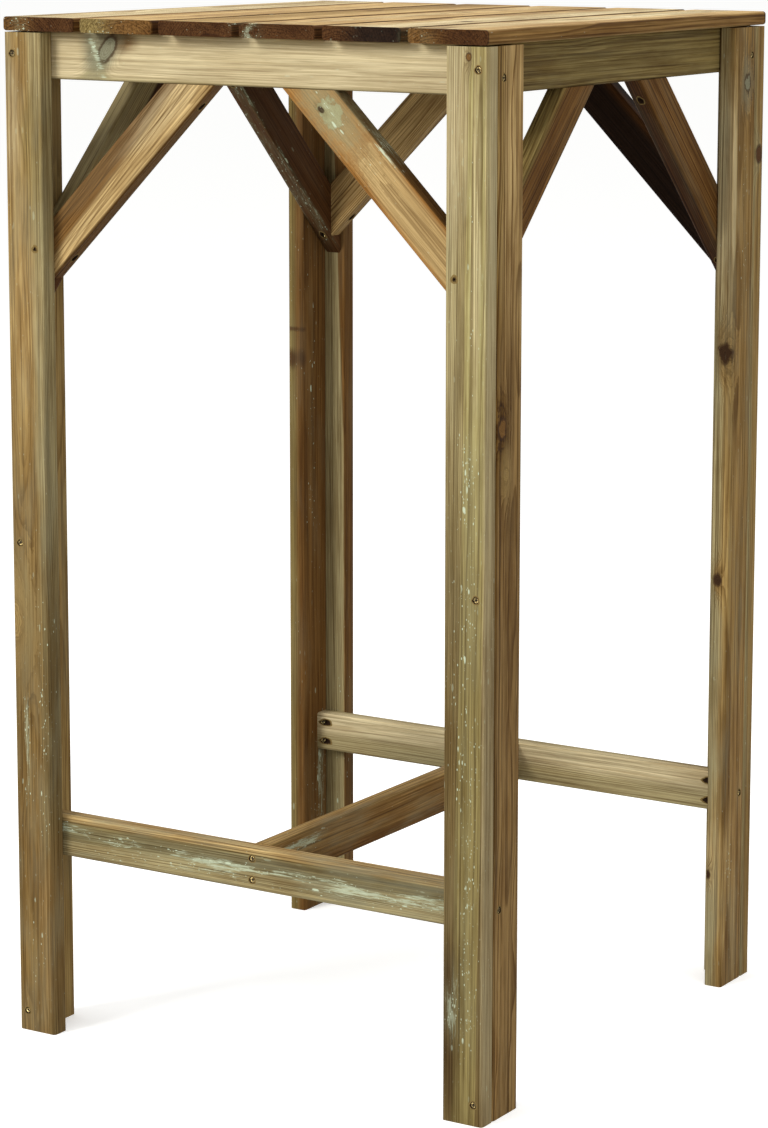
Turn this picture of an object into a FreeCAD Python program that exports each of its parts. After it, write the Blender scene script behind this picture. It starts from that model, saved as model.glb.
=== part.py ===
import FreeCAD, Part
import os

import Sketcher

# Outdoor bar table of planed pine battens, in millimetres.
# The origin is on the floor in the middle of the table, +Z is up and the front looks towards -Y.
# Each leg is an L of two battens: a face batten in front and a side batten butted behind it.
# The aprons, the stretchers and the knee braces lie one batten thickness inside the legs' outer faces.

Vector = FreeCAD.Vector
Rotation = FreeCAD.Rotation
Placement = FreeCAD.Placement

SLAT_COUNT = 6
SCREW_SIDES = 6

# Driving dimensions: alias, value and meaning.
SIZES = (
    ("table_depth", 600, "front face to back face of the legs, and length of a slat"),
    ("leg_height", 1080, "floor to the top end of a leg"),
    ("batten_thickness", 21, "thickness of every batten of the frame"),
    ("batten_edge_radius", 3, "rounding of the long edges of the frame's battens"),
    ("face_batten_width", 47, "width of a leg's batten that faces the front or back"),
    ("side_batten_width", 49.5, "width of a leg's batten that faces the side"),
    ("slat_width", 90, "width of a slat"),
    ("slat_gap", 9, "open gap between two slats"),
    ("slat_thickness", 14.5, "thickness of a slat"),
    ("slat_edge_radius", 3.5, "rounding of a slat's long edges"),
    ("slat_lift", 1.5, "the legs stop this far below the slats"),
    ("apron_height", 50, "height of an apron"),
    ("stretcher_height", 45, "height of a stretcher"),
    ("stretcher_floor_gap", 196.5, "floor to the underside of the stretchers"),
    ("brace_width", 45, "width of a knee brace across its mitred face"),
    ("front_brace_spread", 82, "apron left free between the two braces of the front or back"),
    ("side_brace_spread", 95, "apron left free between the two braces of a side"),
    ("screw_head_diameter", 8, "countersunk screw head"),
    ("screw_head_height", 3.2, "cone of the screw head"),
    ("screw_shank_diameter", 4.2, "screw shank"),
    ("long_screw_length", 50, "straight frame screw"),
    ("short_screw_length", 30, "angled screw"),
    ("screw_clearance", 0.15, "room between a screw's shank and its hole; the head's cone seats"),
    ("screw_sink", 0.4, "head of a straight screw below the surface"),
    ("angled_screw_sink", 5, "head of an angled or sunk screw below the surface, along the screw"),
    ("screw_mouth", 12, "length of the drilled mouth that a screw hole is given above the head"),
    ("leg_screw_end", 22, "leg screw from the end of the leg"),
    ("apron_screw_drop", 8.5, "apron end screw below the leg's upper screw, which it crosses"),
    ("corner_screw_drop", 16, "apron corner screw below the slats"),
    ("stretcher_screw_pitch", 23, "height between two screws at a stretcher's end"),
    ("toe_screw_setback", 12, "angled stretcher screw from the stretcher's end"),
    ("toe_screw_lean_share", 0.55, "sideways run of a stretcher's angled screw for its run along"),
    ("brace_screw_end", 32, "brace screw from the brace's tip, along its long edge"),
    ("brace_seat_screw_inset", 36.5, "sunk brace screw from the outer side of the leg"),
    ("brace_seat_screw_rise", 55, "sunk brace screw above the tip of the side brace"),
    ("slat_screw_inset", 33, "slat screw from the slat's edge nearer to the middle of the table"),
    ("slat_screw_drop", 22, "slat screw's mouth below the slats"),
    ("slat_screw_lean_share", 0.7, "outward run of a slat's angled screw for its run upward"),
)

# Places that follow from the driving dimensions.
PLACES = (
    ("half_width", f"({SLAT_COUNT} * (Sizes.slat_width + Sizes.slat_gap) - Sizes.slat_gap) / 2"),
    ("half_depth", "Sizes.table_depth / 2"),
    ("side_plane", "Places.half_width - Sizes.batten_thickness"),
    ("face_plane", "Places.half_depth - Sizes.batten_thickness"),
    ("side_rail_plane", "Places.side_plane - Sizes.batten_thickness"),
    ("face_rail_plane", "Places.face_plane - Sizes.batten_thickness"),
    ("side_rail_middle", "(Places.side_plane + Places.side_rail_plane) / 2"),
    ("face_rail_middle", "(Places.face_plane + Places.face_rail_plane) / 2"),
    ("slat_bottom", "Sizes.leg_height + Sizes.slat_lift"),
    ("apron_bottom", "Places.slat_bottom - Sizes.apron_height"),
    ("stretcher_middle", "Sizes.stretcher_floor_gap + Sizes.stretcher_height / 2"),
    ("front_brace_reach", "Places.side_rail_plane - Sizes.front_brace_spread / 2"),
    ("side_brace_reach", "Places.face_plane - Sizes.side_brace_spread / 2"),
    ("front_brace_tip", "Places.apron_bottom - Places.front_brace_reach"),
    ("side_brace_tip", "Places.apron_bottom - Places.side_brace_reach"),
    ("brace_mitre", "Sizes.brace_width * sqrt(2)"),
    ("brace_screw_step", "Sizes.brace_screw_end / sqrt(2)"),
)

LEFT_RIGHT = (("left", -1), ("right", 1))
FRONT_BACK = (("front", -1), ("back", 1))

doc = FreeCAD.newDocument("BarTable")

# The sheet of driving dimensions.
sizes = doc.addObject("Spreadsheet::Sheet", "Sizes")
for row, (alias, number, meaning) in enumerate(SIZES, start=1):
    sizes.set(f"A{row}", meaning)
    sizes.set(f"B{row}", str(number))
    sizes.setAlias(f"B{row}", alias)
doc.recompute()

# The set of places worked out from the sheet.
places = doc.addObject("App::VarSet", "Places")
for name, formula in PLACES:
    places.addProperty("App::PropertyFloat", name)
    places.setExpression(name, formula)
    doc.recompute()

nodes = []


def outline_sketch(body, name, role, corners):
    """Draw a loose polygon on one of the body's own planes and bind each corner to its two formulas."""
    plane = next(feature for feature in body.Origin.OriginFeatures if feature.Role == role)
    sketch = body.newObject("Sketcher::SketchObject", name)
    sketch.AttachmentSupport = [(plane, "")]
    sketch.MapMode = "FlatFace"
    count = len(corners)
    turns = [Rotation(Vector(0, 0, 1), 360 * number / count) for number in range(count + 1)]
    loose = [turn.multVec(Vector(1, 0, 0)) for turn in turns]
    for number in range(count):
        sketch.addGeometry(Part.LineSegment(loose[number], loose[number + 1]), False)
    for number in range(count):
        following = (number + 1) % count
        sketch.addConstraint(Sketcher.Constraint("Coincident", number, 2, following, 1))
    for number, (across, along) in enumerate(corners):
        for kind, formula in (("DistanceX", across), ("DistanceY", along)):
            index = sketch.addConstraint(Sketcher.Constraint(kind, -1, 1, number, 1, 0))
            sketch.setExpression(f"Constraints[{index}]", formula)
    return sketch


def round_edges(body, feature, direction, radius):
    """Round the edges of the feature that run along the direction."""
    doc.recompute()
    chosen = []
    for number, edge in enumerate(feature.Shape.Edges, start=1):
        heading = edge.tangentAt(edge.FirstParameter)
        if heading.cross(direction).Length < direction.Length / 2:
            chosen.append(f"Edge{number}")
    fillet = body.newObject("PartDesign::Fillet", "EasedEdges")
    fillet.Base = (feature, chosen)
    fillet.setExpression("Radius", radius)


def place(body, rotation, position):
    """Turn the body and bind its three coordinates to formulas."""
    body.Placement = Placement(Vector(), rotation)
    for axis, formula in zip("xyz", position):
        body.setExpression(f"Placement.Base.{axis}", formula)


TURNS = {
    "x": Rotation(Vector(0, 1, 0), 90),
    "y": Rotation(Vector(1, 0, 0), -90),
    "z": Rotation(),
}


def batten(label, axis, section, length, start, radius="Sizes.batten_edge_radius"):
    """Make a straight batten: its section drawn about the middle, carried along the axis, edges eased."""
    wide, thick = section
    corners = (
        (f"-{wide} / 2", f"-{thick} / 2"),
        (f"{wide} / 2", f"-{thick} / 2"),
        (f"{wide} / 2", f"{thick} / 2"),
        (f"-{wide} / 2", f"{thick} / 2"),
    )
    body = doc.addObject("PartDesign::Body", f"{label}_timber")
    pad = body.newObject("PartDesign::Pad", "Length")
    pad.Profile = outline_sketch(body, "Section", "XY_Plane", corners)
    pad.setExpression("Length", length)
    round_edges(body, pad, Vector(0, 0, 1), radius)
    place(body, TURNS[axis], start)
    return body


def knee_brace(label, heading, reach, start):
    """Make a brace at 45 degrees: a four-sided outline with an upright foot and a level head."""
    corners = (
        ("0", "0"),
        (reach, reach),
        (f"{reach} - Places.brace_mitre", reach),
        ("0", "Places.brace_mitre"),
    )
    body = doc.addObject("PartDesign::Body", f"{label}_timber")
    pad = body.newObject("PartDesign::Pad", "Thickness")
    pad.Profile = outline_sketch(body, "Outline", "XY_Plane", corners)
    pad.setExpression("Length", "Sizes.batten_thickness")
    round_edges(body, pad, Vector(1, 1, 0), "Sizes.batten_edge_radius")
    upright = Rotation(Vector(1, 0, 0), 90)
    place(body, Rotation(Vector(0, 0, 1), heading).multiply(upright), start)
    return body


def size(alias):
    """Read one driving dimension as a number."""
    return float(sizes.get(alias))


def stepped_pin(rings):
    """Close a many-sided pin with flat faces between its rings, each a radius and a height."""
    loops = []
    for radius, height in rings:
        turns = [Rotation(Vector(0, 0, 1), 360 * side / SCREW_SIDES) for side in range(SCREW_SIDES)]
        loops.append([turn.multVec(Vector(radius, 0, height)) for turn in turns])
    outlines = [loops[0], loops[-1]]
    for upper, lower in zip(loops[:-1], loops[1:]):
        for side in range(SCREW_SIDES):
            outlines.append([upper[side - 1], upper[side], lower[side], lower[side - 1]])
    faces = [Part.Face(Part.makePolygon(outline + outline[:1])) for outline in outlines]
    shell = Part.makeShell(faces)
    shell.sewShape()
    pin = Part.makeSolid(shell)
    if pin.Volume < 0:
        pin.reverse()
    return pin


def screw_and_hole(length):
    """Make a countersunk screw with its head's top at the origin, pointing down, and the hole that seats it."""
    head = size("screw_head_diameter") / 2
    shank = size("screw_shank_diameter") / 2
    neck = size("screw_head_height")
    room = size("screw_clearance")
    drilled_neck = neck * (head - shank - room) / (head - shank)
    screw = stepped_pin((
        (head, 0),
        (shank, -neck),
        (shank, -length),
    ))
    hole = stepped_pin((
        (head, size("screw_mouth")),
        (head, 0),
        (shank + room, -drilled_neck),
        (shank + room, -length - room),
    ))
    return screw, hole


def fastener_group(label, kind, spots, sink):
    """Set one screw, and one hole, at every spot: a point on the surface and the way the screw points."""
    groups = []
    for suffix, master in zip(("", "_holes"), kind):
        copies = []
        for point, way in spots:
            heading = Vector(way).normalize()
            turn = Rotation(Vector(0, 0, -1), heading)
            copy = master.copy()
            copy.Placement = Placement(point + heading * sink, turn)
            copies.append(copy)
        group = doc.addObject("Part::Feature", f"{label}{suffix}")
        group.Shape = Part.makeCompound(copies)
        group.Placement = Placement()
        groups.append(group)
    nodes.append((label, groups[0]))
    return groups[1]


def drilled(label, body, hole_groups):
    """Cut the screw holes of the given groups out of a timber and keep the result as a node."""
    drills = doc.addObject("Part::Compound", f"{label}_drills")
    drills.Links = hole_groups
    cut = doc.addObject("Part::Cut", label)
    cut.Base = body
    cut.Tool = drills
    nodes.append((label, cut))


# Timbers of the legs.
timbers = {}
for side_name, side in LEFT_RIGHT:
    for end_name, end in FRONT_BACK:
        leg = f"{end_name}_{side_name}_leg"
        timbers[f"{leg}_face_batten"] = batten(
            f"{leg}_face_batten",
            "z",
            ("Sizes.face_batten_width", "Sizes.batten_thickness"),
            "Sizes.leg_height",
            (
                f"{side} * (Places.half_width - Sizes.face_batten_width / 2)",
                f"{end} * (Places.half_depth - Sizes.batten_thickness / 2)",
                "0",
            ),
        )
        timbers[f"{leg}_side_batten"] = batten(
            f"{leg}_side_batten",
            "z",
            ("Sizes.batten_thickness", "Sizes.side_batten_width"),
            "Sizes.leg_height",
            (
                f"{side} * (Places.half_width - Sizes.batten_thickness / 2)",
                f"{end} * (Places.face_plane - Sizes.side_batten_width / 2)",
                "0",
            ),
        )

# Aprons and stretchers: the front and back ones reach the side battens, the others butt between them.
RAILS = (
    ("apron", "Sizes.apron_height", "Places.apron_bottom"),
    ("stretcher", "Sizes.stretcher_height", "Sizes.stretcher_floor_gap"),
)
for rail, height, bottom in RAILS:
    for end_name, end in FRONT_BACK:
        timbers[f"{end_name}_{rail}"] = batten(
            f"{end_name}_{rail}",
            "x",
            (height, "Sizes.batten_thickness"),
            "2 * Places.side_plane",
            ("-Places.side_plane", f"{end} * Places.face_rail_middle", f"{bottom} + {height} / 2"),
        )
for side_name, side in LEFT_RIGHT:
    timbers[f"{side_name}_apron"] = batten(
        f"{side_name}_apron",
        "y",
        ("Sizes.batten_thickness", "Sizes.apron_height"),
        "2 * Places.face_rail_plane",
        (
            f"{side} * Places.side_rail_middle",
            "-Places.face_rail_plane",
            "Places.apron_bottom + Sizes.apron_height / 2",
        ),
    )
timbers["middle_stretcher"] = batten(
    "middle_stretcher",
    "y",
    ("Sizes.batten_thickness", "Sizes.stretcher_height"),
    "2 * Places.face_rail_plane",
    ("0", "-Places.face_rail_plane", "Places.stretcher_middle"),
)

# Knee braces: the side ones stand on the face battens, the front and back ones on the side braces.
for side_name, side in LEFT_RIGHT:
    for end_name, end in FRONT_BACK:
        near_plane = "Places.face_rail_plane" if side * end > 0 else "Places.face_plane"
        timbers[f"{end_name}_brace_{side_name}"] = knee_brace(
            f"{end_name}_brace_{side_name}",
            90 + side * 90,
            "Places.front_brace_reach",
            (f"{side} * Places.side_rail_plane", f"{end} * {near_plane}", "Places.front_brace_tip"),
        )
        near_plane = "Places.side_plane" if side * end > 0 else "Places.side_rail_plane"
        timbers[f"{side_name}_brace_{end_name}"] = knee_brace(
            f"{side_name}_brace_{end_name}",
            -end * 90,
            "Places.side_brace_reach",
            (f"{side} * {near_plane}", f"{end} * Places.face_plane", "Places.side_brace_tip"),
        )

# Slats of the top, left to right.
for number in range(SLAT_COUNT):
    timbers[f"top_slat_{number + 1}"] = batten(
        f"top_slat_{number + 1}",
        "y",
        ("Sizes.slat_width", "Sizes.slat_thickness"),
        "Sizes.table_depth",
        (
            f"{number} * (Sizes.slat_width + Sizes.slat_gap) + Sizes.slat_width / 2 - Places.half_width",
            "-Places.half_depth",
            "Places.slat_bottom + Sizes.slat_thickness / 2",
        ),
        "Sizes.slat_edge_radius",
    )

# Two kinds of screw and the holes that take them.
long_screw = screw_and_hole(size("long_screw_length"))
short_screw = screw_and_hole(size("short_screw_length"))


def corner_spots(spot):
    """Repeat a spot of the front right corner at all four corners, mirrored."""
    point, way = spot
    repeated = []
    for _, side in LEFT_RIGHT:
        for _, end in FRONT_BACK:
            turned_point = Vector(side * point.x, -end * point.y, point.z)
            repeated.append((turned_point, Vector(side * way.x, -end * way.y, way.z)))
    return repeated


INWARD = Vector(0, 1, 0)
TO_LEFT = Vector(-1, 0, 0)
TO_RIGHT = Vector(1, 0, 0)
TO_FRONT = Vector(0, -1, 0)
UPWARD = Vector(0, 0, 1)

# Straight screws through the face battens into the edges of the side battens.
leg_heights = (
    size("leg_screw_end"),
    size("leg_height") / 2,
    size("leg_height") - size("leg_screw_end"),
)
leg_screw_x = places.half_width - size("batten_thickness") / 2
leg_spots = []
for height in leg_heights:
    leg_spots += corner_spots((Vector(leg_screw_x, -places.half_depth, height), INWARD))

# Straight screws through the side battens into the ends of the front and back rails.
apron_screw_z = max(leg_heights) - size("apron_screw_drop")
apron_spots = corner_spots((Vector(places.half_width, -places.face_rail_middle, apron_screw_z), TO_LEFT))
stretcher_spots = corner_spots(
    (Vector(places.half_width, -places.face_rail_middle, places.stretcher_middle), TO_LEFT)
)

# Straight screws through the front and back aprons into the ends of the side aprons, behind the legs.
corner_screw_z = places.slat_bottom - size("corner_screw_drop")
corner_apron_spots = corner_spots(
    (Vector(places.side_rail_middle, -places.face_plane, corner_screw_z), INWARD)
)

# Pairs of screws at the ends of the stretchers.
half_pitch = size("stretcher_screw_pitch") / 2
pair_heights = (places.stretcher_middle - half_pitch, places.stretcher_middle + half_pitch)
middle_spots = []
toe_spots = []
toe_x = places.side_plane - size("toe_screw_setback")
toe_way = TO_RIGHT + TO_FRONT * size("toe_screw_lean_share")
for height in pair_heights:
    for _, end in FRONT_BACK:
        middle_spots.append((Vector(0, end * places.face_plane, height), Vector(0, -end, 0)))
    toe_spots += corner_spots((Vector(toe_x, -places.face_rail_plane, height), toe_way))

# Angled screws in the long narrow faces of the braces: upright into the apron, level into the leg.
step = places.brace_screw_step
front_x = places.side_rail_plane
side_y = places.face_plane
front_head_x = front_x - places.front_brace_reach + step
side_head_y = side_y - places.side_brace_reach + step
head_z = places.apron_bottom - step
front_rail_y = -places.face_rail_middle
side_rail_x = places.side_rail_middle
brace_spots = []
for spot in (
    (Vector(front_head_x, front_rail_y, head_z), UPWARD),
    (Vector(front_x - step, front_rail_y, places.front_brace_tip + step), TO_RIGHT),
    (Vector(side_rail_x, -side_head_y, head_z), UPWARD),
    (Vector(side_rail_x, -(side_y - step), places.side_brace_tip + step), TO_FRONT),
):
    brace_spots += corner_spots(spot)

# Sunk screws through the face battens into the feet of the side braces.
seat_x = places.half_width - size("brace_seat_screw_inset")
seat_z = places.side_brace_tip + size("brace_seat_screw_rise")
seat_spots = corner_spots((Vector(seat_x, -places.half_depth, seat_z), INWARD))

# Angled screws from the inner faces of the front and back aprons up into the slats.
slat_spots = []
slat_screw_z = places.slat_bottom - size("slat_screw_drop")
for number in range(SLAT_COUNT):
    middle = number * (size("slat_width") + size("slat_gap")) + size("slat_width") / 2 - places.half_width
    side = 1 if middle > 0 else -1
    slat_x = middle - side * (size("slat_width") / 2 - size("slat_screw_inset"))
    for _, end in FRONT_BACK:
        lean = Vector(0, end * size("slat_screw_lean_share"), 0)
        slat_spots.append((Vector(slat_x, end * places.face_rail_plane, slat_screw_z), UPWARD + lean))

flush = size("screw_sink")
sunk = size("angled_screw_sink")
holes = {
    "leg": fastener_group("leg_screws", long_screw, leg_spots, flush),
    "apron": fastener_group("apron_end_screws", long_screw, apron_spots, flush),
    "corner": fastener_group("apron_corner_screws", long_screw, corner_apron_spots, flush),
    "stretcher": fastener_group("stretcher_end_screws", long_screw, stretcher_spots, flush),
    "middle": fastener_group("middle_stretcher_screws", long_screw, middle_spots, flush),
    "seat": fastener_group("brace_seat_screws", long_screw, seat_spots, sunk),
    "toe": fastener_group("stretcher_toe_screws", short_screw, toe_spots, sunk),
    "brace": fastener_group("brace_screws", short_screw, brace_spots, sunk),
    "slat": fastener_group("slat_screws", short_screw, slat_spots, sunk),
}

# Which screws pass through which timbers, by the words in a timber's name.
DRILLED_BY = (
    ("leg_face_batten", ("leg", "seat", "brace")),
    ("leg_side_batten", ("leg", "apron", "stretcher", "toe")),
    ("front_apron", ("apron", "corner", "brace", "slat")),
    ("back_apron", ("apron", "corner", "brace", "slat")),
    ("left_apron", ("corner", "brace")),
    ("right_apron", ("corner", "brace")),
    ("front_stretcher", ("stretcher", "middle", "toe")),
    ("back_stretcher", ("stretcher", "middle", "toe")),
    ("middle_stretcher", ("middle",)),
    ("front_brace", ("brace",)),
    ("back_brace", ("brace",)),
    ("left_brace", ("brace", "seat")),
    ("right_brace", ("brace", "seat")),
    ("top_slat", ("slat",)),
)
for label, body in timbers.items():
    words = next(groups for part_name, groups in DRILLED_BY if part_name in label)
    drilled(label, body, [holes[word] for word in words])
doc.recompute()

# Nothing is written unless every object is sound and every hole was cut.
for thing in doc.Objects:
    if {"Invalid", "Error"} & set(thing.State):
        raise RuntimeError(f"{thing.Name} did not build")
for label, node in nodes:
    if node.Shape.isNull() or not node.Shape.isValid():
        raise RuntimeError(f"{label} is not a sound solid")
    if label in timbers and node.Shape.Volume >= timbers[label].Shape.Volume:
        raise RuntimeError(f"{label} has no screw hole")

os.makedirs("parts", exist_ok=True)
for label, node in nodes:
    node.Label = label
    node.Shape.exportStep(f"parts/{label}.step")
    print(label, len(node.Shape.Solids), round(node.Shape.Volume))
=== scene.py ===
import math
from collections import namedtuple

import bpy
import numpy as np
from bpy.props import FloatProperty, FloatVectorProperty, PointerProperty
from mathutils import Matrix, Vector


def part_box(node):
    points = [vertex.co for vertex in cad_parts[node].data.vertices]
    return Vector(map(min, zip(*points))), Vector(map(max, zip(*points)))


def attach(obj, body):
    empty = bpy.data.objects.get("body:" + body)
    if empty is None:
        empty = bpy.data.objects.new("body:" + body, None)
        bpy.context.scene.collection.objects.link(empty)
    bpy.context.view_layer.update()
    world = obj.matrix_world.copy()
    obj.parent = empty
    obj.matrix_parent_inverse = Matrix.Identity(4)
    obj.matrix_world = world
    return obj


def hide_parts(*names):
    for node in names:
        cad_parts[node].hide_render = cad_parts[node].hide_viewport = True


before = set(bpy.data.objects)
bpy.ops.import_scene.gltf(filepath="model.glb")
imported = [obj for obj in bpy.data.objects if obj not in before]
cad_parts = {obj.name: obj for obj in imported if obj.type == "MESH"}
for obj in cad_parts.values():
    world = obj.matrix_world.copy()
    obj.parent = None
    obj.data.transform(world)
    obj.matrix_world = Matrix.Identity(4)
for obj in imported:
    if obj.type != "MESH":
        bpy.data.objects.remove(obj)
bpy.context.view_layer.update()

bl_info = {
    "name": "Outdoor Bar Table",
    "version": (1, 0, 0),
    "blender": (4, 5, 0),
    "location": "View3D > Sidebar > Bar Table",
    "description": "Dresses a treated pine bar table: grained timbers, screws, torn hole rims and a studio",
    "category": "Object",
}

MM = 0.001


# Sizes and colours

def shown(red, green, blue):
    """Linear colour that a plainly lit surface shows as these 0 to 255 display values."""
    parts = (red / 255, green / 255, blue / 255)
    return tuple(v / 12.92 if v <= 0.04045 else ((v + 0.055) / 1.055) ** 2.4 for v in parts)


def colour(name, description, *display):
    """A colour that a user may change, by its display values."""
    return FloatVectorProperty(name=name, description=description, subtype="COLOR", size=3,
                               min=0.0, max=1.0, default=shown(*display))


def length(name, description, value):
    """A size that a user may change, in metres."""
    return FloatProperty(name=name, description=description, subtype="DISTANCE", unit="LENGTH",
                         min=0.0, default=value)


def power(name, description, value):
    """A lamp's power that a user may change, in watts."""
    return FloatProperty(name=name, description=description, subtype="POWER", unit="POWER",
                         min=0.0, default=value)


class PineColours(bpy.types.PropertyGroup):
    """Colours of the wood and of what has dried on it"""
    straw: colour("Straw", "Pale yellow sapwood", 220, 204, 162)
    sap: colour("Sap", "Sapwood that took up the green treatment", 188, 176, 120)
    olive: colour("Olive", "Grey-green weathered wood", 180, 166, 122)
    tan: colour("Tan", "Plain mid-brown wood", 172, 144, 90)
    honey: colour("Honey", "Golden wood", 206, 176, 121)
    amber: colour("Amber", "Orange-brown resinous wood", 176, 126, 64)
    russet: colour("Russet", "Reddish brown wood", 152, 118, 68)
    moss: colour("Moss", "Green-brown wood", 142, 124, 76)
    umber: colour("Umber", "Brown heartwood", 122, 88, 46)
    bark: colour("Bark", "Dark brown heartwood", 86, 56, 29)
    pitch: colour("Pitch", "Nearly black resinous wood", 40, 26, 16)
    salt: colour("Salt", "Mint-white salts dried on the surface", 208, 220, 190)
    stone: colour("Stone", "Blue-grey resin and weathering", 138, 136, 110)
    resin: colour("Resin", "Pale green resin over a knot", 166, 165, 125)
    knot: colour("Knot", "Heart of a knot", 62, 42, 25)


class ScrewSizes(bpy.types.PropertyGroup):
    """Sizes of the screws and of the torn wood round them"""
    head_radius: length("Head radius", "Radius of the visible head", 2.95 * MM)
    head_depth: length("Head depth", "Depth of the countersunk head", 3.2 * MM)
    shank_radius: length("Shank radius", "Radius of the shank", 1.9 * MM)
    recess_reach: length("Recess reach", "Reach of the cross recess from the middle", 2.0 * MM)
    recess_depth: length("Recess depth", "Depth of the cross recess", 1.5 * MM)
    head_sink: length("Head sink", "How much deeper the head sits than its stand-in", 0.45 * MM)
    rim_inside: length("Rim inside", "Inner radius of the torn wood round a hole", 3.05 * MM)
    rim_outside: length("Rim outside", "Outer radius of the torn wood round a hole", 5.0 * MM)
    closed_inside: length("Closed inside", "Inner radius where the wood nearly closes a hole", 0.9 * MM)
    rim_lift: length("Rim lift", "How far the torn wood stands proud", 0.14 * MM)


class ScrewColours(bpy.types.PropertyGroup):
    """Colours of the screws and of the torn wood round them"""
    zinc: colour("Zinc", "Yellow zinc plating of the screws", 226, 198, 132)
    # Soot colour: painted shade in the cross recess and painted dark reflections in patches on the head.
    dark_reflection_and_shade: colour("Soot", "Dirt in the cross recess", 44, 34, 24)
    torn: colour("Torn wood", "Crushed wood round a screw hole", 132, 110, 66)
    # Hollow colour: painted shade inside a screw hole.
    hole_shade: colour("Hollow", "Dark inside of a screw hole", 40, 26, 16)


class StudioSettings(bpy.types.PropertyGroup):
    """Light and floor of the studio"""
    key_power: power("Key power", "Power of the front left lamp", 150.0)
    top_power: power("Top power", "Power of the overhead lamp", 58.0)
    fill_power: power("Fill power", "Power of the right-hand lamp", 36.0)
    sky_strength: FloatProperty(name="Sky strength", description="Even light from all round",
                                min=0.0, default=0.66)
    floor_tone: colour("Floor", "Pale floor", 244, 244, 242)


# Shader building

def tree_of(*sources):
    """The node tree of the first source that is a socket; the others may be constants."""
    return next(source.id_data for source in sources if isinstance(source, bpy.types.NodeSocket))


def join(socket, source):
    """Links a socket to a source socket, or sets it to a constant."""
    if isinstance(source, bpy.types.NodeSocket):
        socket.id_data.links.new(source, socket)
    else:
        socket.default_value = source


def add(tree, kind, inputs=None, **settings):
    """A new node with its settings and with its inputs joined."""
    made = tree.nodes.new(kind)
    for name, value in settings.items():
        setattr(made, name, value)
    for key, source in (inputs or {}).items():
        join(made.inputs[key], source)
    return made


def maths(operation, *sources):
    """Result of one Math node."""
    values = dict(enumerate(sources))
    return add(tree_of(*sources), "ShaderNodeMath", values, operation=operation).outputs[0]


def times(first, second):
    return maths("MULTIPLY", first, second)


def less(first, second):
    return maths("SUBTRACT", first, second)


def times_plus(first, second, third):
    return maths("MULTIPLY_ADD", first, second, third)


def root_of_squares(first, *others):
    """Square root of the sum of the squares."""
    total = times(first, first)
    for other in others:
        total = times_plus(other, other, total)
    return maths("SQRT", total)


def bell(value, fall):
    """Bell curve: e to the power of minus the fall times the value's square."""
    return maths("EXPONENT", times(times(value, value), -fall))


def ramp(value, low, high, start=0.0, end=1.0):
    """Smooth step of a value from start at low to end at high."""
    limits = {"Value": value, "From Min": low, "From Max": high, "To Min": start, "To Max": end}
    made = add(tree_of(value), "ShaderNodeMapRange", limits, interpolation_type="SMOOTHSTEP")
    return made.outputs["Result"]


def mixed(mask, first, second, mode="MIX"):
    """The first colour, turning into the second where the mask is 1."""
    made = add(tree_of(mask, first, second), "ShaderNodeMix", {0: mask, 6: first, 7: second},
               data_type="RGBA", blend_type=mode)
    return made.outputs[2]


def dimmed(base, shade):
    """A colour times a fixed shade."""
    return mixed(1.0, base, (*shade, 1.0), "MULTIPLY")


def split(place):
    """The three parts of a place: along, across and through a timber."""
    return add(place.id_data, "ShaderNodeSeparateXYZ", {0: place}).outputs


def stretched(place, stretch):
    """A place times a stretch, part by part."""
    made = add(place.id_data, "ShaderNodeVectorMath", {0: place, 1: stretch}, operation="MULTIPLY")
    return made.outputs[0]


def noise(place, stretch, seed, detail=2.0, roughness=0.5):
    """Noise of the place times a stretch, with the seed as fourth coordinate."""
    values = {"Vector": stretched(place, stretch), "W": seed, "Scale": 1.0, "Detail": detail,
              "Roughness": roughness}
    return add(place.id_data, "ShaderNodeTexNoise", values, noise_dimensions="4D").outputs[0]


def swing(*noise_values):
    """Noise that swings about zero."""
    return less(noise(*noise_values), 0.5)


def new_material(name):
    """A material, its node tree and its main shader."""
    material = bpy.data.materials.new(name)
    material.use_nodes = True
    return material, material.node_tree, material.node_tree.nodes["Principled BSDF"]


# Shared effects

# Stretch of each noise or cell pattern: how much of it goes by in a mm along, across and through a timber.
RING_BEND, RING_RIPPLE = (0.0045, 0.03, 0.03), (0.02, 0.12, 0.12)
STREAKS, LINES, PORES = (0.011, 0.75, 0.75), (0.003, 0.55, 0.55), (0.05, 2.4, 2.4)
PATCHES, BLOTCHES = (0.008, 0.045, 0.045), (0.0065, 0.03, 0.03)
KNOT_BORDER, SHADE_BORDER = (0.12, 0.18, 0.18), (0.012, 0.06, 0.06)
SALT_CLOUDS, SALT_STREAKS = (0.014, 0.1, 0.1), (0.06, 0.8, 0.8)
FINE_SPOTS, COARSE_SPOTS = (0.3, 0.75, 0.75), (0.1, 0.33, 0.33)

HALF_BATTEN = 22.5
KNOT_RINGS, KNOT_PUSH, HALO_DRAW = 4.6, 1.9, 0.56
SALT_FADE = 25.0


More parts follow.
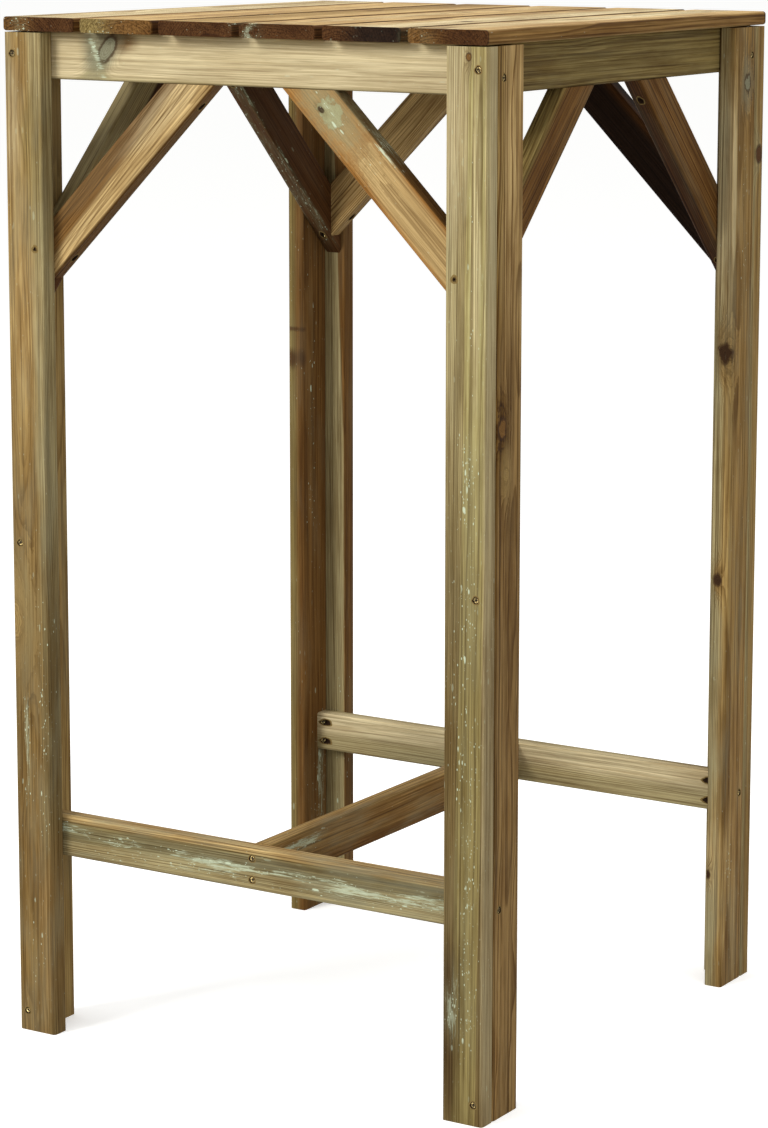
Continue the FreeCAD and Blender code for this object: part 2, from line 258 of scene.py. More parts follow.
def growth_rings(given):
    """Rings: distance from a leaning pith line plus a slow wander and the push of knots, cut into ring-wide
    steps; each step darkens towards its end, as late wood does."""
    place, seed = given["Position"], given["Seed"]
    along, across, through = split(place)
    leaned = times_plus(along, given["Lean"], given["Pith across"])
    far = root_of_squares(less(through, given["Pith through"]), less(across, leaned))
    ripple = times(swing(place, RING_RIPPLE, seed, 2.0), 0.22)
    wander = times_plus(swing(place, RING_BEND, seed, 1.0), 2.0, ripple)
    radius = maths("ADD", times_plus(wander, given["Wander"], far), given["Push"])
    values = {"W": times_plus(radius, 0.09, seed), "Scale": 1.0, "Detail": 1.0}
    uneven = add(place.id_data, "ShaderNodeTexNoise", values, noise_dimensions="1D").outputs[0]
    steps = times_plus(less(uneven, 0.5), 3.0, maths("DIVIDE", radius, given["Ring width"]))
    part = maths("FRACT", steps)
    late = times(ramp(part, 0.32, 0.88), ramp(part, 1.0, 0.9))
    whole = times_plus(seed, 7.31, maths("FLOOR", steps))
    tone = add(place.id_data, "ShaderNodeTexWhiteNoise", {"W": whole}, noise_dimensions="1D")
    return late, radius, tone.outputs["Value"]


def wood_fibre(given):
    """Fibre: noise drawn out along the timber, as fine streaks, long lines, short pores and slow patches."""
    place, seed = given["Position"], given["Seed"]
    streak = noise(place, STREAKS, seed, 4.0, 0.62)
    line = noise(place, LINES, maths("ADD", seed, 9.0), 2.0, 0.55)
    pore = ramp(noise(place, PORES, seed, 1.0), 0.58, 0.72)
    patch = noise(place, PATCHES, seed, 3.0, 0.6)
    blotch = noise(place, BLOTCHES, maths("ADD", seed, 5.0), 4.0, 0.62)
    return streak, line, pore, patch, blotch


def wood_knot(given):
    """Knot: an oval of the given half width, Long times as long and turned by Slant, on the wide face, or
    where Edge is 1 or -1 on that narrow edge, fading into the timber, with rings inside, a dark rim, a soft
    halo and a push that bends the growth rings round it."""
    place, edge = given["Position"], given["Edge"]
    along, across, through = split(place)
    narrow = maths("ABSOLUTE", edge)
    side = times_plus(less(through, across), narrow, across)
    inside = times(narrow, times_plus(edge, -HALF_BATTEN, across))
    far_along, far_across = less(along, given["Along"]), less(side, given["Across"])
    cosine, sine = maths("COSINE", given["Slant"]), maths("SINE", given["Slant"])
    lengthwise = times_plus(far_along, cosine, times(far_across, sine))
    crosswise = less(times(far_across, cosine), times(far_along, sine))
    ragged = swing(place, KNOT_BORDER, given["Seed"], 3.0, 0.6)

    def distance(share):
        drawn = maths("DIVIDE", times(lengthwise, share), given["Long"])
        far = maths("DIVIDE", root_of_squares(crosswise, drawn, inside), given["Size"])
        return times_plus(ragged, given["Ragged"], far)

    near, wide = distance(1.0), distance(HALO_DRAW)
    mask, halo = ramp(near, 1.02, 0.82), ramp(wide, 2.6, 0.7)
    rim = times(ramp(near, 0.66, 0.95), ramp(near, 1.3, 0.98))
    lines = ramp(maths("FRACT", times(near, KNOT_RINGS)), 0.3, 0.95)
    push = times(bell(wide, 0.45), times(given["Size"], KNOT_PUSH))
    return mask, rim, lines, halo, push


def treatment_salts(given):
    """Salts: inside a leaning band across the timber and a span along it, patchy green stain, crust as noise
    drawn out along the grain and cut off, and spots, one in each cell of a fine and of a coarse stretched
    cell pattern, where the patches are thick."""
    place, seed = given["Position"], given["Seed"]
    along, across, _ = split(place)
    middle = times_plus(along, given["Lean"], given["Centre"])
    band = bell(maths("DIVIDE", less(across, middle), given["Width"]), 1.0)
    span = times(ramp(less(along, given["Start"]), -SALT_FADE, SALT_FADE),
                 ramp(less(along, given["End"]), SALT_FADE, -SALT_FADE))
    here = times(times(band, span), given["Amount"])
    thick = times(here, ramp(noise(place, SALT_CLOUDS, seed, 3.0, 0.65), 0.36, 0.6))
    streaks = noise(place, SALT_STREAKS, seed, 4.0, 0.72)
    crust = ramp(times_plus(thick, 0.33, streaks), 0.66, 0.84)

    def spots(stretch, least, more, keep):
        values = {"Vector": stretched(place, stretch), "W": seed, "Scale": 1.0}
        cells = add(place.id_data, "ShaderNodeTexVoronoi", values, voronoi_dimensions="4D").outputs
        chance = add(place.id_data, "ShaderNodeSeparateColor", {0: cells["Color"]}).outputs
        reach = times_plus(maths("POWER", chance[0], 2.0), more, least)
        ragged = times_plus(less(streaks, 0.5), 0.7, cells["Distance"])
        spot = ramp(less(ragged, reach), 0.08, -0.08)
        shows = ramp(less(times(thick, keep), chance[1]), -0.04, 0.06)
        return times(spot, shows)

    specks = maths("MAXIMUM", spots(FINE_SPOTS, 0.14, 0.3, 0.8), spots(COARSE_SPOTS, 0.12, 0.34, 0.4))
    return thick, crust, specks


def soft_shade(given):
    """Shade: an oval patch of the given half length and half width, whose border wanders and fades out."""
    place = given["Position"]
    along, across, _ = split(place)
    far_along = maths("DIVIDE", less(along, given["Along"]), given["Length"])
    far_across = maths("DIVIDE", less(across, given["Across"]), given["Width"])
    wander = swing(place, SHADE_BORDER, given["Seed"], 3.0, 0.6)
    far = root_of_squares(far_across, far_along)
    return (ramp(times_plus(wander, 1.4, far), 1.25, 0.35),)


# For each effect, what it is given besides Position and Seed, what it puts out and what works it out.
EFFECTS = {
    "Growth rings": (("Pith across", "Pith through", "Lean", "Ring width", "Wander", "Push"),
                     ("Late wood", "Radius", "Ring tone"), growth_rings),
    "Wood fibre": ((), ("Streak", "Line", "Pore", "Patch", "Blotch"), wood_fibre),
    "Wood knot": (("Along", "Across", "Size", "Edge", "Ragged", "Slant", "Long"),
                  ("Mask", "Rim", "Lines", "Halo", "Push"), wood_knot),
    "Treatment salts": (("Centre", "Lean", "Width", "Start", "End", "Amount"),
                        ("Stain", "Crust", "Specks"), treatment_salts),
    "Soft shade": (("Along", "Across", "Length", "Width"), ("Mask",), soft_shade),
}


def build_effect(name):
    """Node group of one effect: Position is a vector, its other sockets are numbers."""
    inputs, outputs, work_out = EFFECTS[name]
    tree = bpy.data.node_groups.new(name, "ShaderNodeTree")
    for title in ("Position", *inputs, "Seed"):
        kind = "NodeSocketVector" if title == "Position" else "NodeSocketFloat"
        tree.interface.new_socket(name=title, in_out="INPUT", socket_type=kind)
    for title in outputs:
        tree.interface.new_socket(name=title, in_out="OUTPUT", socket_type="NodeSocketFloat")
    given = tree.nodes.new("NodeGroupInput").outputs
    wanted = tree.nodes.new("NodeGroupOutput").inputs
    for title, source in zip(outputs, work_out(given)):
        join(wanted[title], source)
    return tree


def effect(name, place, seed, **values):
    """Outputs of a shared effect, placed with its own values; its first use builds it. A value goes to the
    input of its name, with a capital and with gaps for underscores."""
    group = bpy.data.node_groups.get(name) or build_effect(name)
    given = {title.replace("_", " ").capitalize(): value for title, value in values.items()}
    given.update(Position=place, Seed=seed)
    return add(place.id_data, "ShaderNodeGroup", given, node_tree=group).outputs


# Timbers

Knot = namedtuple("Knot", "along across size edge colour ragged slant long", defaults=(0.7, 0.0, 1.39))
Salts = namedtuple("Salts", "centre width start end amount crust lean", defaults=(0.0, 0.0))
Edge = namedtuple("Edge", "colour start end amount", defaults=(1.0,))
Ends = namedtuple("Ends", "left right border")
Shade = namedtuple("Shade", "colour along across length width amount")
# Heart and sap colour, radius and soft border of the heart, pith across and through, its lean, ring width and
# wander, contrast of the grain and grey wear. The foot is how much it darkens, from which height to which.
Board = namedtuple("Board", "inner outer heart soft pith lean ring wander contrast grey "
                            "knots salts foot edges ends shades", defaults=((), (), None, (), None, ()))

# Strength of the fill, of the rings and of the rim of a plain knot, and of one that has bled or grown over.
PLAIN_KNOT = (1.0, 0.6, 0.75)
KNOT_LOOKS = {"resin": (0.85, 0.25, 0.1), "stone": (0.9, 0.45, 0.8), "tan": (0.5, 0.8, 0.2)}

# Shades that the wood's colour is multiplied by.
FOOT_SHADE, LATE_SHADE, STREAK_SHADE = (0.45, 0.375, 0.275), (0.38, 0.31, 0.23), (0.52, 0.47, 0.4)
DARK_LINE_SHADE, PALE_LINE_SHADE = (0.42, 0.35, 0.26), (1.32, 1.3, 1.24)
PORE_SHADE, BLOTCH_SHADE = (0.5, 0.42, 0.32), (0.62, 0.54, 0.44)
HALO_SHADE, KNOT_RING_SHADE = (0.6, 0.5, 0.38), (0.35, 0.3, 0.26)

# A sawn end starts to show at the first distance from the end in mm and shows fully at the second. Its tone
# changes over the third to either side of its border.
END_START, END_FULL, END_BLEND = 3.4, 1.2, 20
# Steps between the seeds of the timbers, of the salts on one timber and of its shades.
TIMBER_SEED, SALT_SEED, SHADE_SEED = 3.7, 20, 40

# Sizes in mm in each timber's own frame: along it, across its wide face, and through its thickness.
LEG_BOARDS = {
    "front_right_leg_face_batten": Board(
        "sap", "olive", 21, 1, (9, -26), 0.016, 1.9, 2.4, 0.65, 0.12,
        (Knot(530, 2, 3, 0, "umber", 1.4),),
        (Salts(4, 9, -450, 160, 1), Salts(7, 8, 160, 480, 0.25), Salts(-13, 8, -450, -380, 0.8, 0.4),
         Salts(-12, 5, -160, 20, 0.5)),
        # The straw edge is painted light on the narrow +X edge of the face batten, which lies in shade.
        (0.95, 240, -110), (Edge("straw", 19.5, 22.5, 0.4),),
        shades=(Shade("straw", 460, -15, 110, 18, 0.5), Shade("moss", 190, -5, 330, 8, 0.4),
                Shade("straw", 360, 11, 170, 6, 0.5), Shade("bark", -450, -15, 130, 17, 0.6),
                Shade("moss", 60, -17, 90, 9, 0.4))),
    "front_right_leg_side_batten": Board(
        "honey", "tan", 46, 4, (8, -44), 0.03, 3.2, 11, 1.1, 0.05,
        (Knot(168, -13, 7, 0, "umber", 1.4), Knot(120, -6, 6, 0, "tan", 1.2)),
        foot=(1, 470, 180), shades=(Shade("umber", -40, 0, 300, 30, 0.3),)),
    "front_left_leg_face_batten": Board(
        "tan", "olive", 30, 4, (-6, -34), -0.008, 2.4, 7, 0.7, 0.25,
        (Knot(-85, -24, 14, 0, "tan", 0.5, 0, 1.8),),
        (Salts(15, 6, -330, -60, 0.9), Salts(-8, 4, -290, -170, 1, 0.3), Salts(2, 10, -470, -400, 0.5)),
        (0.9, 200, -150),
        shades=(Shade("moss", 400, 12, 110, 20, 0.7), Shade("straw", 455, -15, 80, 14, 0.5),
                Shade("honey", 260, -4, 140, 20, 0.35), Shade("honey", -430, 20, 130, 18, 0.6),
                Shade("umber", -120, -18, 60, 12, 0.5), Shade("umber", 5, -16, 60, 12, 0.4))),
    "front_left_leg_side_batten": Board("olive", "tan", 50, 5, (10, 45), 0.01, 2.8, 6, 0.6, 0.2),
    "back_right_leg_face_batten": Board(
        "tan", "olive", 36, 4, (26, 30), 0.004, 2.4, 5, 0.7, 0.25,
        (Knot(400, 0, 7, 1, "bark"),), (Salts(10, 8, -450, -200, 0.5),), (0.3, 200, -300)),
    "back_right_leg_side_batten": Board(
        "olive", "tan", 55, 5, (-14, 52), 0.003, 2.4, 4, 1, 0.3,
        (Knot(-70, 2, 5.5, -1, "knot"), Knot(-410, 8, 4, -1, "knot"), Knot(184, -3, 8, -1, "knot", 1.2),
         Knot(478, 4, 7, 0, "stone", 1.6)),
        (Salts(2, 7, 230, 400, 0.5), Salts(-12, 6, -460, -360, 0.7)),
        edges=(Edge("russet", -19, -14, 0.5),),
        shades=(Shade("honey", -380, 8, 250, 34, 0.9), Shade("straw", 370, -26, 150, 9, 0.6))),
    "back_left_leg_face_batten": Board(
        "umber", "olive", 24, 1.5, (46, -20), -0.036, 2.7, 5, 0.6, 0.1,
        salts=(Salts(16, 7, -520, -250, 0.6),), edges=(Edge("umber", 21, 23),)),
    "back_left_leg_side_batten": Board(
        "moss", "umber", 46, 5, (-24, 46), 0.004, 2.9, 5, 0.55, 0.1,
        salts=(Salts(6, 14, -540, -330, 0.8, 0.5), Salts(-8, 7, -100, 230, 0.4)),
        shades=(Shade("bark", 137, -31, 13, 13, 0.95), Shade("bark", 172, -31, 3.5, 13, 0.9))),
}
RAIL_BOARDS = {
    "front_apron": Board(
        "straw", "olive", 46, 3, (9, 44), 0.006, 2.3, 6, 0.3, 0.05,
        (Knot(-174, 8, 8.5, 0, "stone", 0.7, 54, 1.9),), (Salts(-451, 12, -230, -150, 0.95, 0.55, -2.4),),
        # The umber patch beside the knot, just under the slats, is painted shadow of the slats' overhang.
        shades=(Shade("stone", -188, 8, 22, 24, 0.9), Shade("umber", -158, 17, 26, 16, 0.95))),
    "back_apron": Board("tan", "olive", 48, 5, (-6, -46), 0.004, 2.6, 6, 0.6, 0.2,
                        (Knot(120, 6, 6, 0, "knot"),)),
    "left_apron": Board("tan", "umber", 50, 5, (6, 48), 0.006, 2.6, 6, 0.6, 0.2),
    "right_apron": Board("moss", "umber", 62, 5, (-4, 50), 0.004, 2, 5, 0.85, 0.1),
    "front_stretcher": Board(
        "moss", "olive", 42, 2.5, (40, 14), 0.01, 2.6, 3, 0.85, 0.5,
        salts=(Salts(-9, 6, -262, -120, 1, 0.75, -0.075), Salts(-3, 9, -120, 262, 1, 0.6),
               Salts(-12, 6, -200, -60, 0.6, 0.3)),
        edges=(Edge("honey", 14, 18, 0.75),), shades=(Shade("stone", -100, 6, 330, 13, 0.5),)),
    "back_stretcher": Board("straw", "olive", 42, 5, (30, 40), 0.004, 2.2, 4, 0.6, 0.15),
    "middle_stretcher": Board(
        "russet", "umber", 38, 4, (26, 24), 0.01, 2.8, 6, 0.75, 0.3,
        salts=(Salts(10, 8, -270, -160, 0.9, 0.6),), edges=(Edge("tan", 19.5, 21.5, 0.7),)),
}
BRACE_BOARDS = {
    "front_brace_left": Board(
        "honey", "umber", 39, 4, (-30.5, 30), 0.09, 4.2, 11, 0.75, 0.1,
        edges=(Edge("umber", -20, -22),), shades=(Shade("straw", 90, 4, 80, 20, 0.35),)),
    "front_brace_right": Board(
        "honey", "amber", 30, 3, (1, -34), 0.01, 2.8, 7, 0.5, 0,
        (Knot(91, 3, 13, 0, "resin", 2), Knot(101, -3, 2.6, 0, "knot", 1.5)),
        (Salts(2, 10, 40, 150, 0.6, 0.2), Salts(21, 2, 0, 60, 1, 0.8)),
        (0.25, 60, -160), (Edge("amber", -16, -21, 0.6), Edge("umber", 21, 22.3))),
    "back_brace_left": Board("honey", "russet", 30, 4, (-2.5, 20), 0.03, 3.4, 8, 0.95, 0.1),
    "back_brace_right": Board("pitch", "bark", 60, 4, (-32.5, 24), 0.02, 2.8, 7, 0.7, 0),
    "left_brace_front": Board("bark", "olive", 34, 4, (-38.5, 10), 0.01, 2.4, 5, 0.8, 0.2),
    "left_brace_back": Board("bark", "bark", 34, 5, (-16.5, 24), 0.01, 2.8, 6, 0.6, 0.05,
                             salts=(Salts(-21, 2, -140, 140, 0.8, 0.4),)),
    "right_brace_front": Board("umber", "moss", 30, 5, (-10.5, 26), 0.02, 3, 7, 0.9, 0.1),
    "right_brace_back": Board("bark", "umber", 36, 5, (-36.5, 26), 0.02, 2.8, 7, 0.9, 0.1),
}
# On slats 1 to 5 the dark edge on the side next to the following slat is painted shade in the gap between the
# slats.
SLAT_BOARDS = {
    "top_slat_1": Board(
        "honey", "straw", 40, 6, (-20, 36), 0.006, 2.6, 6, 0.95, 0,
        salts=(Salts(-26, 11, -340, -276, 1),),
        edges=(Edge("umber", 41.5, 43.5),), ends=Ends("umber", "bark", -14)),
    "top_slat_2": Board(
        "straw", "honey", 44, 6, (10, 40), 0.008, 2.8, 7, 0.9, 0,
        salts=(Salts(-10, 20, -340, -280, 0.4),),
        edges=(Edge("bark", 41.5, 43.5),), ends=Ends("moss", "umber", -12)),
    "top_slat_3": Board(
        "honey", "tan", 46, 8, (26, 34), 0.004, 2.6, 6, 0.95, 0,
        (Knot(60, -14, 7, 0, "umber"),), (Salts(46, 4, -300, -270, 0.9),),
        edges=(Edge("bark", 41.5, 43.5),), ends=Ends("bark", "bark", 10)),
    "top_slat_4": Board(
        "straw", "honey", 50, 8, (-8, 44), 0.006, 2.4, 6, 0.9, 0,
        salts=(Salts(-32, 10, -340, -278, 0.9, 0.3),),
        edges=(Edge("bark", 41.5, 43.5),), ends=Ends("bark", "bark", -22)),
    "top_slat_5": Board(
        "honey", "straw", 42, 8, (-30, 30), 0.01, 2.8, 7, 0.95, 0,
        (Knot(-130, 18, 6, 0, "knot"),), (Salts(0, 20, -160, -60, 0.2), Salts(46, 4, -300, -250, 1)),
        edges=(Edge("bark", 41.5, 43.5),), ends=Ends("bark", "pitch", -16)),
    "top_slat_6": Board(
        "straw", "honey", 52, 6, (-12, 40), 0.004, 2.6, 6, 0.9, 0,
        salts=(Salts(-30, 16, -340, -278, 0.5),),
        edges=(Edge("russet", 42.5, 45),), ends=Ends("umber", "bark", -12)),
}
ALL_BOARDS = {**LEG_BOARDS, **RAIL_BOARDS, **BRACE_BOARDS, **SLAT_BOARDS}


def node_points(name):
    """The points of a solid as an array of three columns."""
    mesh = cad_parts[name].data
    flat = np.empty(len(mesh.vertices) * 3)
    mesh.vertices.foreach_get("co", flat)
    return flat.reshape(-1, 3)


def timber_frame(name):
    """Centre of a timber, its turn and half its length. The turn's first column lies along the timber, the
    second across its wide face and the third through it."""
    low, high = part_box(name)
    middle = (low + high) / 2
    sideways, lengthways, upright = Vector((1, 0, 0)), Vector((0, 1, 0)), Vector((0, 0, 1))
    if "leg" in name:
        along, across = upright, sideways if "face" in name else lengthways
    elif "slat" in name:
        along, across = lengthways, sideways
    elif "brace" in name:
        if name.startswith(("front", "back")):
            out = sideways * math.copysign(1, middle.x)
        else:
            out = lengthways * math.copysign(1, middle.y)
        along, across = (upright - out).normalized(), (upright + out).normalized()
    else:
        along, across = lengthways if high.y - low.y > high.x - low.x else sideways, upright
    turn = Matrix((along, across, along.cross(across))).transposed()
    corners = node_points(name) @ np.array(turn)
    least, most = corners.min(axis=0), corners.max(axis=0)
    return turn @ Vector((least + most) / 2), turn, (most[0] - least[0]) / 2


def tint(which):
    """One of the wood's colours."""
    return (*getattr(bpy.context.scene.table_pine, which), 1.0)


def knots_of(place, board, seed):
    """The knots of a timber, each as its outputs and its colour, and the sum of their pushes."""
    made, push = [], 0.0
    for number, knot in enumerate(board.knots):
        one = effect("Wood knot", place, seed + number, along=knot.along, across=knot.across, size=knot.size,
                     edge=knot.edge, ragged=knot.ragged, slant=math.radians(knot.slant), long=knot.long)
        made.append((one, knot.colour))
        push = one["Push"] if number == 0 else maths("ADD", push, one["Push"])
    return made, push


def raw_colour(place, board, seed, half, radius):
    """Heart and sap colours by ring radius, soft patches, the darker foot, the edges and the sawn ends; some
    patches and edges are painted shade or painted light.
    """
    along, across, _ = split(place)
    heart = ramp(radius, board.heart - board.soft, board.heart + board.soft)
    base = mixed(heart, tint(board.inner), tint(board.outer))
    for number, shade in enumerate(board.shades):
        patch = effect("Soft shade", place, seed + SHADE_SEED + number, along=shade.along,
                       across=shade.across, length=shade.length, width=shade.width)
        base = mixed(times(patch["Mask"], shade.amount), base, tint(shade.colour))
    if board.foot:
        amount, start, end = board.foot
        low = times(ramp(along, start, end, 0.0, amount), ramp(heart, 0.0, 1.0, 0.72, 1.0))
        base = mixed(low, base, dimmed(base, FOOT_SHADE))
    for edge in board.edges:
        base = mixed(ramp(across, edge.start, edge.end, 0.0, edge.amount), base, tint(edge.colour))
    if board.ends:
        left, right, border = board.ends
        cut = ramp(maths("ABSOLUTE", along), half - END_START, half - END_FULL)
        change = ramp(across, border - END_BLEND, border + END_BLEND)
        base = mixed(cut, base, mixed(change, tint(left), tint(right)))
    return base


def with_grain(base, board, rings, fibre):
    """A colour darkened by late wood, streaks, lines, pores and blotches, lightened between the lines, and
    greyed where it is worn."""
    strength = board.contrast
    uneven = times_plus(rings["Ring tone"], 0.65 * strength, 0.35 * strength)
    for mask, shade in (
            (times(rings["Late wood"], uneven), LATE_SHADE),
            (ramp(fibre["Streak"], 0.38, 0.66, 0.0, 0.65), STREAK_SHADE),
            (ramp(fibre["Line"], 0.5, 0.66, 0.0, 0.95 * strength), DARK_LINE_SHADE),
            (ramp(fibre["Line"], 0.5, 0.34, 0.0, 0.8 * strength), PALE_LINE_SHADE),
            (times(fibre["Pore"], 0.35), PORE_SHADE),
            (ramp(fibre["Blotch"], 0.58, 0.36, 0.0, min(0.8, strength)), BLOTCH_SHADE)):
        base = mixed(mask, base, dimmed(base, shade))
    worn = times(ramp(fibre["Patch"], 0.44, 0.68), board.grey)
    return mixed(worn, base, tint("stone"))


def with_knots(base, knots):
    """A colour with the timber's knots over it: halo, ringed heart and rim."""
    for shape, which in knots:
        fill, ringed, rimmed = KNOT_LOOKS.get(which, PLAIN_KNOT)
        halo = tint(which) if which in KNOT_LOOKS else dimmed(base, HALO_SHADE)
        base = mixed(times(shape["Halo"], 0.45), base, halo)
        ring = tuple(a * b for a, b in zip(tint(which), (*KNOT_RING_SHADE, 1.0)))
        grown = mixed(times(shape["Lines"], ringed), tint(which), ring)
        base = mixed(times(shape["Mask"], fill), base, grown)
        base = mixed(times(shape["Rim"], rimmed), base, tint("knot"))
    return base


def with_salts(base, place, board, seed):
    """A colour with the timber's dried salts over it: stain, crust and specks."""
    for number, band in enumerate(board.salts):
        salts = effect("Treatment salts", place, seed + SALT_SEED + number, centre=band.centre,
                       lean=band.lean, width=band.width, start=band.start, end=band.end, amount=band.amount)
        base = mixed(times(salts["Stain"], 0.14 + 0.2 * band.crust), base, tint("resin"))
        if band.crust:
            base = mixed(times(salts["Crust"], band.crust), base, tint("salt"))
        base = mixed(times(salts["Specks"], 0.85), base, tint("salt"))
    return base


def pine_material(name, seed):
    """Pine for one timber: raw colours, grain, knots and salts, all worked out in its own frame in mm."""
    board = ALL_BOARDS[name]
    centre, turn, half = timber_frame(name)
    material, tree, wood = new_material("pine_" + name)
    place = add(tree, "ShaderNodeMapping", {
        "Vector": add(tree, "ShaderNodeTexCoord").outputs["Object"], "Location": centre,
        "Rotation": turn.to_euler("XYZ"), "Scale": (MM, MM, MM)}, vector_type="TEXTURE").outputs[0]
    knots, push = knots_of(place, board, seed)
    rings = effect("Growth rings", place, seed, pith_across=board.pith[0], pith_through=board.pith[1],
                   lean=board.lean, ring_width=board.ring, wander=board.wander, push=push)
    fibre = effect("Wood fibre", place, seed)
    base = raw_colour(place, board, seed, half / MM, rings["Radius"])
    base = with_grain(base, board, rings, fibre)
    base = with_knots(base, knots)
    base = with_salts(base, place, board, seed)
    join(wood.inputs["Base Color"], base)
    join(wood.inputs["Roughness"], ramp(fibre["Streak"], 0.2, 0.8, 0.55, 0.78))
    wood.inputs["Specular IOR Level"].default_value = 0.06
    ridges = times_plus(rings["Late wood"], 0.5, times(fibre["Pore"], -0.4))
    relief = times_plus(fibre["Streak"], -0.6, ridges)
    bump = add(tree, "ShaderNodeBump", {"Strength": 0.5, "Distance": 0.25 * MM, "Height": relief})
    join(wood.inputs["Normal"], bump.outputs[0])
    return material


def dress(names):
    """Puts each timber's own pine on its solid."""
    order = list(ALL_BOARDS)
    for name in names:
        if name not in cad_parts:
            raise RuntimeError("the frame has no timber " + name)
        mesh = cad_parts[name].data
        mesh.materials.clear()
        mesh.materials.append(pine_material(name, TIMBER_SEED * (order.index(name) + 1)))
    return {"FINISHED"}


# Screws

SCREW_COUNTS = {"leg_screws": 12, "apron_end_screws": 4, "apron_corner_screws": 4, "stretcher_end_screws": 4,
                "middle_stretcher_screws": 4, "brace_seat_screws": 4, "stretcher_toe_screws": 8,
                "brace_screws": 16, "slat_screws": 12}
COVERED_SCREWS = ("apron_corner_screws",)
CLOSED_SCREWS = ("brace_seat_screws",)
SLANTED_SCREWS = ("stretcher_toe_screws", "brace_screws", "slat_screws")
SUNK_SCREWS = CLOSED_SCREWS + SLANTED_SCREWS
DEEP_SINK, FLUSH_SINK = 5 * MM, 0.4 * MM
SECTORS = 24
TURN = np.arange(SECTORS) * 2 * np.pi / SECTORS


def screw_places(name):
    """Head centres, inward directions and lengths of the screws of one node: the longest axis of each solid,
    the mean of the points furthest from that axis as the head, and the reach from there to the tip."""
    points, count = node_points(name), SCREW_COUNTS[name]
    if len(points) % count:
        raise RuntimeError("the points of " + name + " don't divide into its screws")
    points = points.reshape(count, -1, 3)
    middle = points.mean(1, keepdims=True)
    axis = np.linalg.svd(points - middle, full_matrices=False)[2][:, 0]
    height = np.einsum("nkc,nc->nk", points - middle, axis)
    away = np.linalg.norm(points - middle - height[..., None] * axis[:, None], axis=2)
    rim = (away > 0.8 * away.max(1, keepdims=True)).astype(float)
    head_height = (height * rim).sum(1) / rim.sum(1)
    inward = axis * -np.sign(head_height)[:, None]
    head = middle[:, 0] + head_height[:, None] * axis
    reach = np.einsum("nkc,nc->nk", points - head[:, None], inward).max(1)
    return head, inward, reach


def square_to(direction):
    """Two unit vectors square to each direction and to each other."""
    helper = np.where(np.abs(direction[:, 2:]) > 0.9, np.array([[1.0, 0, 0]]), np.array([[0, 0, 1.0]]))
    first = np.cross(helper, direction)
    first /= np.linalg.norm(first, axis=1, keepdims=True)
    return first, np.cross(direction, first)


def grid_faces(rows):
    """Quads of a grid that closes round its sectors, wound to face outwards where its rows run inwards."""
    row, sector = np.meshgrid(np.arange(rows - 1), np.arange(SECTORS), indexing="ij")
    after = (sector + 1) % SECTORS
    return np.stack([row * SECTORS + sector, (row + 1) * SECTORS + sector, (row + 1) * SECTORS + after,
                     row * SECTORS + after], -1).reshape(-1, 4)


def show(name, data):
    """A new object in the scene."""
    made = bpy.data.objects.new(name, data)
    bpy.context.scene.collection.objects.link(made)
    return made


def make_piece(name, points, faces, shade, material):
    """One mesh object from repeated points (copies, points, 3), their faces, and a shade for each point."""
    copies, size = points.shape[:2]
    corners = (faces[None] + (np.arange(copies) * size)[:, None, None]).reshape(-1, faces.shape[1])
    mesh = bpy.data.meshes.new(name)
    mesh.from_pydata(points.reshape(-1, 3).tolist(), [], corners.tolist())
    mesh.attributes.new("shade", "FLOAT", "POINT").data.foreach_set("value", np.tile(shade, copies))
    mesh.polygons.foreach_set("use_smooth", [True] * len(mesh.polygons))
    mesh.materials.append(material)
    mesh.validate()
    mesh.update()
    piece = show(name, mesh)
    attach(piece, "root")
    return piece


def screw_surface(sizes, reach):
    """Screw in its own frame: rows of radius and depth from the middle of the head outwards, down the cone
    and the shank to the tip. On the head the depth falls by the cross recess, the eighth power of cos of
    twice the turn inside the recess reach, and fully near the middle."""
    head, arm, shank = sizes.head_radius, sizes.recess_reach, sizes.shank_radius
    radius = np.array([0.12 * arm, 0.45 * arm, 0.8 * arm, arm, 1.12 * arm, 0.94 * head, head, 0.985 * head,
                       shank, shank, 0.4 * shank])
    depth = np.array([0, 0, 0, 0, 0, 0, 0.1 * MM, 0.3 * MM, sizes.head_depth, reach - 4 * MM, reach])
    inside, core = np.zeros_like(radius), np.zeros_like(radius)
    inside[:4] = 1.0, 1.0, 0.9, 0.35
    core[:2] = 1.0, 0.45
    fall = np.maximum(inside[:, None] * np.cos(2 * TURN) ** 8, core[:, None])
    points = np.stack([radius[:, None] * np.cos(TURN), radius[:, None] * np.sin(TURN),
                       depth[:, None] + sizes.recess_depth * fall], -1).reshape(-1, 3)
    ends = [[0, 0, sizes.recess_depth], [0, 0, reach]]
    quads = grid_faces(len(radius))
    sector = np.arange(SECTORS)
    after = (sector + 1) % SECTORS
    total, last = len(points), len(points) - SECTORS
    faces = np.concatenate([quads[:, [0, 1, 2]], quads[:, [0, 2, 3]],
                            np.stack([np.full(SECTORS, total), sector, after], -1),
                            np.stack([np.full(SECTORS, total + 1), last + after, last + sector], -1)])
    # Each point's fall is also its shade value, which the zinc turns into painted shade in the cross recess.
    return np.concatenate([points, ends]), faces, np.concatenate([fall.ravel(), [1.0, 0.0]])


def shade_and_mottle(tree, grain):
    """The shade value of the surface, and noise of its place times a grain."""
    deep = add(tree, "ShaderNodeAttribute", attribute_name="shade").outputs["Fac"]
    spread = stretched(add(tree, "ShaderNodeTexCoord").outputs["Object"], (grain, grain, grain))
    return deep, add(tree, "ShaderNodeTexNoise", {"Vector": spread, "Scale": 1.0, "Detail": 2.0}).outputs[0]


